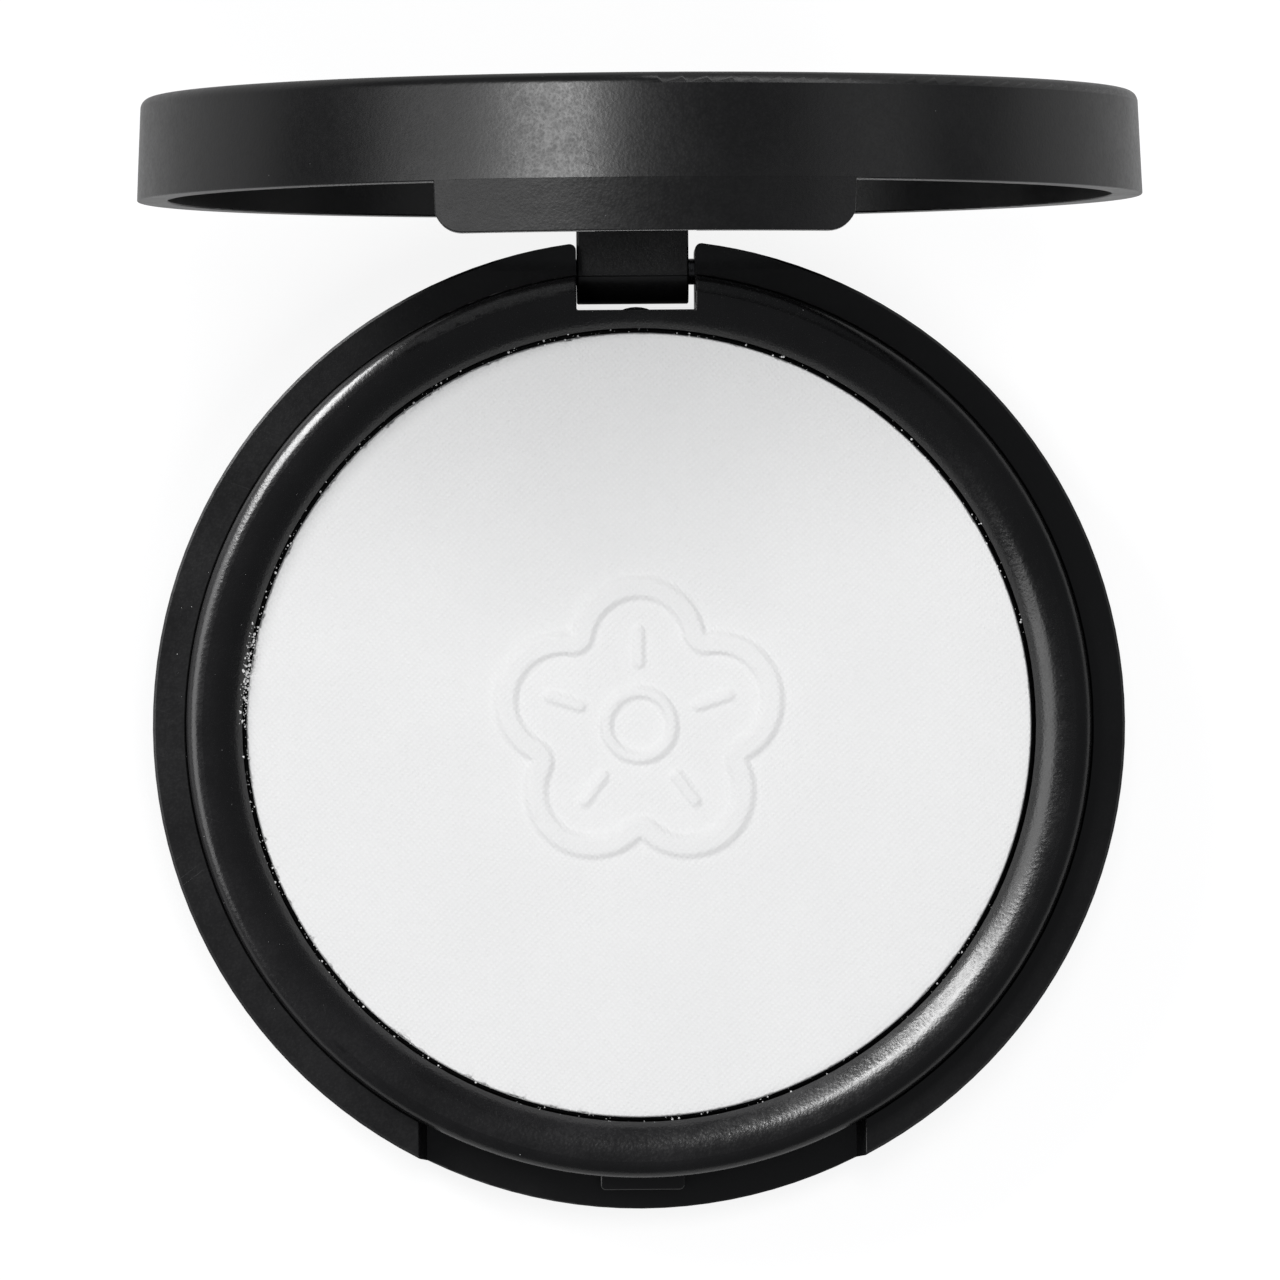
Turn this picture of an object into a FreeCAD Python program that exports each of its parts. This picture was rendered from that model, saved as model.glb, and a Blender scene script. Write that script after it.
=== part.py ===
import FreeCAD, Part
import math
import os
import re

import Sketcher

# A round pressed-powder compact with its lid standing open.
# Origin: centre of the flat underside. +X right, +Y towards the hinge, +Z up. Millimetres.

doc = FreeCAD.newDocument("PowderCompact")
sheet = doc.addObject("Spreadsheet::Sheet", "Sizes")

sizes = {
    # base moulding
    "base_radius": 37.0,        # outside of the base at its flat top ring
    "heel_radius": 36.95,       # outside of the base just above its rounded bottom edge
    "heel_round": 1.35,         # radius of that bottom edge
    "edge_bevel": 0.2,          # softened outer edge of the top ring
    "edge_soft": 0.12,          # small rounds on moulded edges
    "edge_full": 0.15,          # larger rounds on the edges that fingers meet
    "split_height": 8.0,        # top ring, where the closed lid comes down
    "floor_top": 2.0,           # inside of the base's floor
    "collar_radius": 34.5,      # upright wall inside the top ring, seen in the front recess
    "well_radius": 33.1,        # inside of that wall
    "ledge_height": 7.2,        # its top, which carries the tray
    "wall_root": 0.3,           # how far the notch's walls reach into that wall
    # hinge
    "hinge_back": 34.6,         # pin axis behind the centre
    "hinge_height": 3.8,        # pin axis above the underside
    "pin_radius": 1.0,
    "pin_length": 16.0,
    "pin_chamfer": 0.15,
    "pin_access": 22.6,         # the pin's drilling, open at the right-hand rear wall
    "knuckle_radius": 2.45,
    "knuckle_width": 8.53,
    "knuckle_shift": 0.205,     # the knuckle stands nearer to the left cheek
    "bore_play": 0.05,          # radial play of the knuckle on the pin
    "notch_half": 4.53,
    "notch_wall": 31.56,        # front wall of the notch
    "notch_corner": 0.5,        # softened corners where the notch meets the outside
    "bump_half": 1.2,           # low swelling in the middle of that wall
    "bump_rise": 0.27,
    "cheek_wall": 1.5,          # side walls round the notch
    "back_wall_inner": 30.9,    # inner face of the notch's front wall
    # front recess and its catch
    "recess_half_top": 17.0,
    "recess_half_floor": 16.4,
    "recess_floor": 4.1,
    "nub_half": 3.2,
    "nub_reach": 0.9,
    "nub_low": 5.0,
    "nub_top": 7.0,
    "nub_corner": 0.4,
    # pan tray with its rounded bead
    "bead_outer": 34.42,
    "bead_bore": 30.2,
    "bead_crest_radius": 33.2,
    "bead_crest_height": 10.0,
    "bead_outer_arc": 1.22,
    "bead_inner_arc": 3.6,
    "tray_skirt": 31.5,
    "tray_wall": 1.2,
    "lip_inner": 33.15,
    "lip_hollow": 8.5,
    "skirt_slope": 0.9,         # height of the slope between skirt and lip
    "bead_end_low": 1.2,        # the bead's ends are rounded above this height over the ledge
    "fit_gap": 0.02,
    "relief_play": 0.1,         # room beside the notch's walls
    # pan, its glue and the powder
    "glue_radius": 24.0,
    "glue_thick": 0.2,
    "pan_radius": 29.85,
    "pan_wall": 0.25,
    "pan_corner": 0.65,
    "pan_rim": 7.95,
    "cake_radius": 29.8,
    "cake_edge": 8.1,
    "cake_crown": 8.3,
    # blank label let into the underside
    "label_radius": 22.0,
    "label_thick": 0.15,
    # lid moulding, sizes given as it lies closed
    "rim_height": 8.05,
    "rim_round": 0.12,
    "lid_height": 7.57,
    "lid_top_radius": 36.7,
    "lid_round": 0.8,
    "lid_bore": 34.75,
    "lid_plate": 1.62,
    "seat_radius": 32.45,
    "seat_depth": 1.3,
    "seat_round": 0.4,
    "tab_half": 15.05,
    "tab_drop": 3.66,           # length of the tab below the rim
    "tab_inner": 35.0,
    "tab_end_radius": 36.6,     # the tab leans in towards its end
    "tab_root": 0.48,           # how far the tab reaches up into the wall
    "tab_corner": 2.1,
    "tab_round": 0.1,
    "slot_half": 3.6,
    "slot_radius": 35.65,
    "slot_roof": 7.6,
    "web_root": 0.4,            # how far the knuckle's web reaches into the wall
    "web_back": 36.3,
    "web_top": 10.2,
    "open_angle": 90.0,
    # mirror
    "mirror_radius": 32.2,
    "mirror_thick": 1.2,
    "mirror_chamfer": 0.25,
    "tape_radius": 28.0,
    "tape_thick": 0.15,
    # sketches that cut right through reach this far
    "far": 45.0,
}

for row, (alias, value) in enumerate(sizes.items(), start=1):
    sheet.set("A%d" % row, alias)
    sheet.set("B%d" % row, str(value))
    sheet.setAlias("B%d" % row, alias)
doc.recompute()


def cell(text):
    """Names in a formula become cells of the sheet."""
    return re.sub(r"[a-z][a-z_]*", lambda m: "Sizes." + m[0] if m[0] in sizes else m[0], text)


def number(text):
    return float(sheet.evalExpression(re.sub(r"Sizes\.", "", cell(text))))


def plane(body, role):
    return next(f for f in body.Origin.OriginFeatures if f.Role == role)


def arcBetween(start, end, radius, turn):
    """Short arc from start to end; turn is 1 when its centre lies to the left of the way, -1 to the right."""
    chord = end - start
    middle = (start + end) * 0.5
    left = FreeCAD.Vector(-chord.y, chord.x, 0).normalize()
    reach = math.sqrt(max(radius ** 2 - chord.Length ** 2 / 4, 0))
    centre = middle + left * (reach * turn)
    first, last = (start, end) if turn > 0 else (end, start)
    angles = [math.atan2(p.y - centre.y, p.x - centre.x) for p in (first, last)]
    circle = Part.Circle(centre, FreeCAD.Vector(0, 0, 1), radius)
    return Part.ArcOfCircle(circle, angles[0], angles[1])


def outline(body, name, role, corners, lift=None):
    """A closed sketch on one of the body's own planes. A corner is (x, y), or (x, y, radius, turn)
    where an arc leaves it. Every corner and radius is held by a formula on the sheet."""
    sketch = body.newObject("Sketcher::SketchObject", name)
    sketch.AttachmentSupport = [(plane(body, role), "")]
    sketch.MapMode = "FlatFace"
    if lift is not None:
        sketch.setExpression("AttachmentOffset.Base.z", cell(lift))
    points = [FreeCAD.Vector(number(c[0]), number(c[1]), 0) for c in corners]
    starts = []
    for i, corner in enumerate(corners):
        here, there = points[i], points[(i + 1) % len(points)]
        if len(corner) == 2:
            edge = sketch.addGeometry(Part.LineSegment(here, there), False)
            starts.append((edge, 1, 2))
        else:
            edge = sketch.addGeometry(arcBetween(here, there, number(corner[2]), corner[3]), False)
            starts.append((edge, 1, 2) if corner[3] > 0 else (edge, 2, 1))
    for i, corner in enumerate(corners):
        edge, begin, _ = starts[i]
        before, _, end = starts[i - 1]
        sketch.addConstraint(Sketcher.Constraint("Coincident", before, end, edge, begin))
        across = sketch.addConstraint(Sketcher.Constraint("DistanceX", -1, 1, edge, begin, points[i].x))
        sketch.setExpression("Constraints[%d]" % across, cell(corner[0]))
        up = sketch.addConstraint(Sketcher.Constraint("DistanceY", -1, 1, edge, begin, points[i].y))
        sketch.setExpression("Constraints[%d]" % up, cell(corner[1]))
        if len(corner) == 4:
            bend = sketch.addConstraint(Sketcher.Constraint("Radius", edge, number(corner[2])))
            sketch.setExpression("Constraints[%d]" % bend, cell(corner[2]))
    doc.recompute()
    return sketch


def ring(body, name, role, radius, across, up, lift=None):
    """A sketch holding one circle."""
    sketch = body.newObject("Sketcher::SketchObject", name)
    sketch.AttachmentSupport = [(plane(body, role), "")]
    sketch.MapMode = "FlatFace"
    if lift is not None:
        sketch.setExpression("AttachmentOffset.Base.z", cell(lift))
    centre = FreeCAD.Vector(number(across), number(up), 0)
    edge = sketch.addGeometry(Part.Circle(centre, FreeCAD.Vector(0, 0, 1), number(radius)), False)
    for kind, text in (("DistanceX", across), ("DistanceY", up)):
        index = sketch.addConstraint(Sketcher.Constraint(kind, -1, 1, edge, 3, number(text)))
        sketch.setExpression("Constraints[%d]" % index, cell(text))
    index = sketch.addConstraint(Sketcher.Constraint("Radius", edge, number(radius)))
    sketch.setExpression("Constraints[%d]" % index, cell(radius))
    doc.recompute()
    return sketch


def newBody(name):
    body = doc.addObject("PartDesign::Body", name)
    body.Label = name
    return body


def finishFeature(body, feature, grows):
    """Recomputes and makes sure that the feature really added or removed material."""
    before = feature.BaseFeature.Shape.Volume if feature.BaseFeature else 0.0
    doc.recompute()
    change = feature.Shape.Volume - before
    if (change > 0) != grows or abs(change) < 1e-4:
        raise RuntimeError("%s changed the volume by %.4f" % (feature.Name, change))
    return feature


def turn(body, name, sketch, angle=360.0):
    """Revolves a sketch about +Z, evenly to both sides of its plane."""
    feature = body.newObject("PartDesign::Revolution", name)
    feature.Profile = sketch
    feature.ReferenceAxis = (sketch, ["V_Axis"])
    feature.Angle = angle
    feature.Midplane = angle < 360
    return finishFeature(body, feature, True)


def extrude(body, kind, name, sketch, length, back=False, both=False):
    """Pads or pockets a sketch by a formula's length."""
    feature = body.newObject("PartDesign::" + kind, name)
    feature.Profile = sketch
    feature.setExpression("Length", cell(length))
    feature.Reversed = back
    feature.SideType = "Symmetric" if both else "One side"
    return finishFeature(body, feature, kind == "Pad")


def soften(body, name, radius, chosen):
    """Fillets the edges of the body's tip that the test picks."""
    tip = body.Tip
    edges = ["Edge%d" % (i + 1) for i, e in enumerate(tip.Shape.Edges) if chosen(e)]
    if not edges:
        raise RuntimeError("%s found no edge" % name)
    feature = body.newObject("PartDesign::Fillet", name)
    feature.Base = (tip, edges)
    feature.setExpression("Radius", cell(radius))
    doc.recompute()
    if not feature.Shape.isValid() or abs(feature.Shape.Volume - tip.Shape.Volume) < 1e-5:
        raise RuntimeError("%s rounded nothing" % name)
    return feature


def turned(name, corners):
    """A body that is one revolved section: corners are (radius, height)."""
    body = newBody(name)
    turn(body, name + "_turn", outline(body, name + "_section", "XZ_Plane", corners))
    return body


def upright(edge, x, y):
    """True for an edge parallel to Z that stands at (x, y) or (-x, y)."""
    box = edge.BoundBox
    return box.XLength + box.YLength < 0.3 and box.ZLength > 1.0 and math.hypot(
        abs(box.Center.x) - x, box.Center.y - y) < 0.4


def level(edge, height):
    """True for an edge that lies flat at this height."""
    return abs(edge.BoundBox.ZMin - height) + abs(edge.BoundBox.ZMax - height) < 1e-3


def bend(edge):
    """Radius of a circular edge, 0 for any other."""
    return getattr(edge.Curve, "Radius", 0.0)


def outside(edge, radius):
    """True for an edge whose ends both stand further than this from the Z axis."""
    return all(math.hypot(v.Point.x, v.Point.y) > radius for v in edge.Vertexes)


def across(edge, x):
    """True for an edge in the plane X = x."""
    return abs(edge.BoundBox.XMin - x) + abs(edge.BoundBox.XMax - x) < 1e-3


def makeBaseShell():
    """Outer moulding: floor, wall with flat top ring, hinge notch at the back, tab recess in front."""
    body = turned("base_shell", [
        ("0", "label_thick"),
        ("label_radius + fit_gap", "label_thick"),
        ("label_radius + fit_gap", "0"),
        ("heel_radius - heel_round", "0", "heel_round", 1),
        ("heel_radius", "heel_round"),
        ("base_radius", "split_height - edge_bevel"),
        ("base_radius - edge_bevel", "split_height"),
        ("collar_radius", "split_height"),
        ("collar_radius", "floor_top"),
        ("0", "floor_top"),
    ])
    # the recess cuts the wall away in front, then the inner collar closes it again
    recess = outline(body, "recess_outline", "XZ_Plane", [
        ("-recess_half_floor", "recess_floor"),
        ("recess_half_floor", "recess_floor"),
        ("2 * recess_half_top - recess_half_floor", "2 * split_height - recess_floor"),
        ("-2 * recess_half_top + recess_half_floor", "2 * split_height - recess_floor"),
    ])
    extrude(body, "Pocket", "front_recess", recess, "far", back=True)
    collar = outline(body, "collar_section", "XZ_Plane", [
        ("well_radius", "floor_top / 2"),
        ("collar_radius", "floor_top / 2"),
        ("collar_radius", "ledge_height"),
        ("well_radius", "ledge_height"),
    ])
    turn(body, "collar", collar)
    # walls round the notch, then the notch itself, open above and below
    walls = outline(body, "notch_walls_outline", "XY_Plane", [
        ("-notch_half - cheek_wall", "back_wall_inner"),
        ("notch_half + cheek_wall", "back_wall_inner"),
        ("notch_half + cheek_wall", "well_radius + wall_root"),
        ("-notch_half - cheek_wall", "well_radius + wall_root"),
    ])
    extrude(body, "Pad", "notch_walls", walls, "ledge_height")
    notch = outline(body, "notch_outline", "XY_Plane", [
        ("-notch_half", "notch_wall"),
        ("-bump_half", "notch_wall", "(bump_half ^ 2 + bump_rise ^ 2) / (2 * bump_rise)", -1),
        ("bump_half", "notch_wall"),
        ("notch_half", "notch_wall"),
        ("notch_half", "far"),
        ("-notch_half", "far"),
    ])
    extrude(body, "Pocket", "hinge_notch", notch, "far", back=True)
    # behind the pin the top is rounded about the pin's axis, so that the lid's rim sweeps past
    sweep = outline(body, "sweep_outline", "YZ_Plane", [
        ("hinge_back", "split_height", "split_height - hinge_height", -1),
        ("hinge_back + split_height - hinge_height", "hinge_height"),
        ("hinge_back + split_height - hinge_height", "split_height + 1"),
        ("hinge_back", "split_height + 1"),
    ])
    extrude(body, "Pocket", "rear_round", sweep, "2 * far", both=True)
    bore = ring(body, "pin_drilling", "YZ_Plane", "pin_radius", "hinge_back", "hinge_height",
                lift="-pin_length / 2")
    extrude(body, "Pocket", "pin_seat", bore, "pin_access", back=True)
    nub = outline(body, "nub_outline", "XY_Plane", [
        ("-nub_half", "-collar_radius + 1"),
        ("-nub_half", "-collar_radius - nub_reach + nub_corner", "nub_corner", 1),
        ("-nub_half + nub_corner", "-collar_radius - nub_reach"),
        ("nub_half - nub_corner", "-collar_radius - nub_reach", "nub_corner", 1),
        ("nub_half", "-collar_radius - nub_reach + nub_corner"),
        ("nub_half", "-collar_radius + 1"),
    ], lift="nub_low")
    extrude(body, "Pad", "catch_nub", nub, "nub_top - nub_low")
    rear = math.sqrt(number("heel_radius") ** 2 - number("notch_half") ** 2)
    soften(body, "notch_corners", "notch_corner", lambda e: upright(e, number("notch_half"), rear))
    deck, side = number("split_height"), number("recess_half_top")
    soften(body, "ring_edges", "edge_soft", lambda e: level(e, deck) and (
        across(e, side) or across(e, -side) or abs(bend(e) - number("collar_radius")) < 1e-3))
    soften(body, "recess_lip", "edge_full", lambda e: level(e, number("recess_floor"))
           and bend(e) > number("collar_radius") + 1)
    soften(body, "nub_edges", "edge_full", lambda e: level(e, number("nub_top"))
           and bend(e) < 1 and e.BoundBox.YMax < 0)
    return body


def makePanTray():
    """Inner moulding: a floor and wall that hold the pan, and the rounded bead round the powder."""
    body = turned("pan_tray", [
        ("0", "floor_top"),
        ("tray_skirt", "floor_top"),
        ("tray_skirt", "lip_hollow - skirt_slope"),
        ("lip_inner", "lip_hollow"),
        ("lip_inner", "ledge_height"),
        ("bead_outer", "ledge_height"),
        ("bead_outer", "bead_crest_height - bead_outer_arc", "bead_outer_arc", 1),
        ("bead_crest_radius", "bead_crest_height", "bead_inner_arc", 1),
        ("bead_bore", "bead_crest_height - bead_inner_arc"
            " + sqrt(bead_inner_arc ^ 2 - (bead_crest_radius - bead_bore) ^ 2)"),
        ("bead_bore", "floor_top + tray_wall"),
        ("0", "floor_top + tray_wall"),
    ])
    notch = outline(body, "bead_notch_outline", "XY_Plane", [
        ("-notch_half", "notch_wall"),
        ("notch_half", "notch_wall"),
        ("notch_half", "far"),
        ("-notch_half", "far"),
    ])
    extrude(body, "Pocket", "bead_notch", notch, "far", back=True)
    relief = outline(body, "skirt_relief_outline", "XY_Plane", [
        ("-notch_half - cheek_wall - relief_play", "back_wall_inner - fit_gap"),
        ("notch_half + cheek_wall + relief_play", "back_wall_inner - fit_gap"),
        ("notch_half + cheek_wall + relief_play", "well_radius"),
        ("-notch_half - cheek_wall - relief_play", "well_radius"),
    ])
    extrude(body, "Pocket", "skirt_relief", relief, "ledge_height", back=True)
    cheek, wall, ledge = number("notch_half"), number("notch_wall"), number("ledge_height")
    high = number("ledge_height + bead_end_low")
    soften(body, "bead_ends", "edge_full", lambda e: e.BoundBox.ZMax > high and (
        across(e, cheek) or across(e, -cheek)
        or abs(e.BoundBox.YMin - wall) + abs(e.BoundBox.YMax - wall) < 1e-3))
    soften(body, "bead_foot", "edge_soft", lambda e: level(e, ledge)
           and abs(bend(e) - number("bead_outer")) < 1e-3)
    return body


def makePan():
    """Thin aluminium pan that holds the powder."""
    low = "(floor_top + tray_wall + glue_thick)"
    return turned("powder_pan", [
        ("0", low),
        ("pan_radius - pan_corner", low, "pan_corner", 1),
        ("pan_radius", low + " + pan_corner"),
        ("pan_radius", "pan_rim"),
        ("pan_radius - pan_wall", "pan_rim"),
        ("pan_radius - pan_wall", low + " + pan_corner", "pan_corner - pan_wall", -1),
        ("pan_radius - pan_corner", low + " + pan_wall"),
        ("0", low + " + pan_wall"),
    ])


def makeCake():
    """Pressed powder: it fills the pan, and its slightly crowned face stands just over the pan's rim."""
    low = "(floor_top + tray_wall + glue_thick)"
    rise = "(cake_crown - cake_edge)"
    return turned("powder_cake", [
        ("0", low + " + pan_wall"),
        ("pan_radius - pan_corner", low + " + pan_wall", "pan_corner - pan_wall", 1),
        ("pan_radius - pan_wall", low + " + pan_corner"),
        ("pan_radius - pan_wall", "pan_rim"),
        ("cake_radius", "pan_rim"),
        ("cake_radius", "cake_edge", "(cake_radius ^ 2 + " + rise + " ^ 2) / (2 * " + rise + ")", 1),
        ("0", "cake_crown"),
    ])


def disc(name, radius, low, thick):
    high = low + " + " + thick
    return turned(name, [("0", low), (radius, low), (radius, high), ("0", high)])


def makePin():
    """Steel hinge pin, pressed into the base on both sides of the notch."""
    body = turned("hinge_pin", [
        ("0", "0"),
        ("pin_radius - pin_chamfer", "0"),
        ("pin_radius", "pin_chamfer"),
        ("pin_radius", "pin_length - pin_chamfer"),
        ("pin_radius - pin_chamfer", "pin_length"),
        ("0", "pin_length"),
    ])
    along = FreeCAD.Rotation(FreeCAD.Vector(0, 1, 0), 90)
    place = FreeCAD.Vector(-number("pin_length") / 2, number("hinge_back"), number("hinge_height"))
    body.Placement = FreeCAD.Placement(place, along)
    return body


def makeLidShell():
    """Lid moulding as it lies closed: plate, wall, thumb tab in front and hinge knuckle behind."""
    top = "(rim_height + lid_height)"
    seat = "(" + top + " - lid_plate - seat_depth)"
    body = turned("lid_shell", [
        ("0", top + " - lid_plate"),
        ("seat_radius", top + " - lid_plate"),
        ("seat_radius", seat),
        ("lid_bore - seat_round", seat, "seat_round", -1),
        ("lid_bore", seat + " - seat_round"),
        ("lid_bore", "rim_height"),
        ("base_radius - rim_round", "rim_height", "rim_round", 1),
        ("base_radius", "rim_height + rim_round"),
        ("lid_top_radius", top + " - lid_round", "lid_round", 1),
        ("lid_top_radius - lid_round", top),
        ("0", top),
    ])
    # the tab is a short stretch of ring below the rim, with its two lower corners rounded off
    end = "(rim_height - tab_drop)"
    band = outline(body, "tab_section", "YZ_Plane", [
        ("-base_radius", "rim_height + rim_round"),
        ("-tab_end_radius", end),
        ("-tab_inner", end),
        ("-tab_inner", "rim_height + tab_root"),
        ("-tab_end_radius + tab_round", "rim_height + tab_root"),
    ])
    spread = 2 * math.degrees(math.asin(number("tab_half / base_radius")))
    turn(body, "tab_band", band, spread)
    for side, way, word in (("", -1, "right"), ("-", 1, "left")):
        corner = outline(body, "tab_corner_" + word, "XZ_Plane", [
            (side + "(tab_half - tab_corner)", end, "tab_corner", -way),
            (side + "tab_half", end + " + tab_corner"),
            (side + "(tab_half + tab_corner)", end + " + tab_corner"),
            (side + "(tab_half + tab_corner)", end + " - tab_corner"),
            (side + "(tab_half - tab_corner)", end + " - tab_corner"),
        ])
        extrude(body, "Pocket", "tab_round_" + word, corner, "far", back=True)
    slot = outline(body, "nub_slot_outline", "XY_Plane", [
        ("-slot_half", "-slot_radius"),
        ("slot_half", "-slot_radius"),
        ("slot_half", "-collar_radius"),
        ("-slot_half", "-collar_radius"),
    ])
    extrude(body, "Pocket", "nub_slot", slot, "slot_roof", back=True)
    # knuckle round the pin, with a web that rises into the lid's wall
    web = outline(body, "knuckle_outline", "YZ_Plane", [
        ("hinge_back - knuckle_radius", "hinge_height", "knuckle_radius", 1),
        ("hinge_back", "hinge_height - knuckle_radius", "knuckle_radius", 1),
        ("hinge_back + knuckle_radius", "hinge_height", "knuckle_radius", 1),
        ("web_back", "hinge_height + sqrt(knuckle_radius ^ 2 - (web_back - hinge_back) ^ 2)"),
        ("web_back", seat),
        ("lid_bore + web_root", seat),
        ("hinge_back - knuckle_radius", "web_top"),
    ], lift="-knuckle_shift")
    extrude(body, "Pad", "knuckle", web, "knuckle_width", both=True)
    bore = ring(body, "knuckle_bore_circle", "YZ_Plane", "pin_radius + bore_play", "hinge_back", "hinge_height")
    extrude(body, "Pocket", "knuckle_bore", bore, "2 * knuckle_width", both=True)
    rim = number("rim_height")
    low = rim - number("(tab_drop - tab_corner) / 2")
    cheeks = [number(side + "knuckle_width / 2 - knuckle_shift") for side in ("", "-")]
    soften(body, "rim_inner", "edge_soft", lambda e: level(e, rim)
           and abs(bend(e) - number("lid_bore")) < 1e-3)
    soften(body, "knuckle_edges", "edge_full", lambda e: any(across(e, x) for x in cheeks)
           and abs(bend(e) - number("pin_radius + bore_play")) > 1e-3 and e.BoundBox.ZLength > 0.01
           and not (e.BoundBox.YLength < 1e-3 and e.BoundBox.ZMin > rim - 0.01 and e.BoundBox.YMin > 34))
    soften(body, "seat_edge", "edge_full", lambda e: level(e, number(seat))
           and abs(bend(e) - number("seat_radius")) < 1e-3)
    soften(body, "tab_edges", "tab_round", lambda e: outside(e, number("base_radius") - 0.5)
           and e.BoundBox.YMax < -number("tab_half") and e.BoundBox.ZMin < low)
    return body


def makeMirror():
    """Round glass mirror with a small chamfer on its face."""
    back = "(rim_height + lid_height - lid_plate - tape_thick)"
    face = "(rim_height + lid_height - lid_plate - tape_thick - mirror_thick)"
    return turned("mirror", [
        ("0", face),
        ("mirror_radius - mirror_chamfer", face),
        ("mirror_radius", face + " + mirror_chamfer"),
        ("mirror_radius", back),
        ("0", back),
    ])


basePieces = [
    makeBaseShell(),
    makePanTray(),
    disc("pan_adhesive", "glue_radius", "floor_top + tray_wall", "glue_thick"),
    makePan(),
    makeCake(),
    makePin(),
    disc("base_label", "label_radius", "0", "label_thick"),
]
lidPieces = [
    makeLidShell(),
    makeMirror(),
    disc("mirror_adhesive", "tape_radius", "rim_height + lid_height - lid_plate - tape_thick", "tape_thick"),
]

# the lid's pieces are drawn closed and stand open, turned back about the pin
hinge = FreeCAD.Vector(0, number("hinge_back"), number("hinge_height"))
opened = FreeCAD.Rotation(FreeCAD.Vector(1, 0, 0), -number("open_angle"))
for piece in lidPieces:
    piece.Placement = FreeCAD.Placement(FreeCAD.Vector(0, 0, 0), opened, hinge)

doc.recompute()
for item in doc.Objects:
    if "Invalid" in item.State or "Error" in item.State:
        raise RuntimeError("%s failed: %s" % (item.Name, item.State))
for piece in basePieces + lidPieces:
    if piece.Shape.isNull() or not piece.Shape.isValid() or len(piece.Shape.Solids) != 1:
        raise RuntimeError("%s is not one valid solid" % piece.Label)

os.makedirs("parts", exist_ok=True)
for piece in basePieces + lidPieces:
    piece.Shape.exportStep("parts/%s.step" % piece.Label)
    box = piece.Shape.BoundBox
    print("%-16s %9.1f mm3  x %6.2f %6.2f  y %6.2f %6.2f  z %6.2f %6.2f" % (
        piece.Label, piece.Shape.Volume, box.XMin, box.XMax, box.YMin, box.YMax, box.ZMin, box.ZMax))
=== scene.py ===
import math

import bmesh
import bpy
from mathutils import Matrix, Vector


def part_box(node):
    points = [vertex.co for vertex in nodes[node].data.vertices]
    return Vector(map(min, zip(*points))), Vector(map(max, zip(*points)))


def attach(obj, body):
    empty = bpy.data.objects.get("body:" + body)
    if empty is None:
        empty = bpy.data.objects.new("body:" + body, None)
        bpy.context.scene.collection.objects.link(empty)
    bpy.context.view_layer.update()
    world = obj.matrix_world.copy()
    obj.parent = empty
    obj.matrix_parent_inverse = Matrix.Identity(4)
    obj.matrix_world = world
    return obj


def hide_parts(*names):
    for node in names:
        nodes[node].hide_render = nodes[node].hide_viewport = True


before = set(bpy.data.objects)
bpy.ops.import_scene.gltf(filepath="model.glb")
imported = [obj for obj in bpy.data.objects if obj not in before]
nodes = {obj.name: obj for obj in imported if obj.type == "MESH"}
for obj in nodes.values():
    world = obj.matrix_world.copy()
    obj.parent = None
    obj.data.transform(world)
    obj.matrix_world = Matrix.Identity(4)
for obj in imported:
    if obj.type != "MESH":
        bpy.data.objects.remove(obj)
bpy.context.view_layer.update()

scene = bpy.context.scene
mm = 0.001


# A socket that gives a value, so that arithmetic on sockets reads as arithmetic.
class Wire:
    def __init__(self, tree, socket):
        self.tree = tree
        self.socket = socket

    def __add__(self, other):
        return calc("ADD", self, other)

    def __radd__(self, other):
        return calc("ADD", self, other)

    def __sub__(self, other):
        return calc("SUBTRACT", self, other)

    def __rsub__(self, other):
        return calc("SUBTRACT", other, self)

    def __mul__(self, other):
        return calc("MULTIPLY", self, other)

    def __rmul__(self, other):
        return calc("MULTIPLY", self, other)

    def __truediv__(self, other):
        return calc("DIVIDE", self, other)

    def __rtruediv__(self, other):
        return calc("DIVIDE", other, self)


def connect(value, socket):
    if isinstance(value, Wire):
        value.tree.links.new(value.socket, socket)
    else:
        socket.default_value = value


def calc(operation, *values):
    tree = next(value.tree for value in values if isinstance(value, Wire))
    made = tree.nodes.new("ShaderNodeMath")
    made.operation = operation
    for value, socket in zip(values, made.inputs):
        connect(value, socket)
    return Wire(tree, made.outputs[0])


def add(tree, kind, inputs=None, **settings):
    made = tree.nodes.new(kind)
    for name, value in settings.items():
        setattr(made, name, value)
    for name, value in (inputs or {}).items():
        connect(value, made.inputs[name])
    return made


def out(made, name=0):
    return Wire(made.id_data, made.outputs[name])


def ramp(value, start, end, low=0.0, high=1.0, smooth=True):
    blend = "SMOOTHSTEP" if smooth else "LINEAR"
    made = add(value.tree, "ShaderNodeMapRange", interpolation_type=blend)
    for number, item in enumerate((value, start, end, low, high)):
        connect(item, made.inputs[number])
    return out(made)


def vector(tree, x, y, z):
    return out(add(tree, "ShaderNodeCombineXYZ", {"X": x, "Y": y, "Z": z}))


def split(value):
    made = add(value.tree, "ShaderNodeSeparateXYZ", {0: value})
    return [out(made, axis) for axis in "XYZ"]


def scaled(value, factor):
    return out(add(value.tree, "ShaderNodeVectorMath", {0: value, 3: factor}, operation="SCALE"))


def noise(place, scale, detail=2.0, roughness=0.5, distortion=0.0):
    made = add(place.tree, "ShaderNodeTexNoise",
               {"Vector": place, "Scale": scale, "Detail": detail, "Roughness": roughness,
                "Distortion": distortion})
    return out(made)


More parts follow.
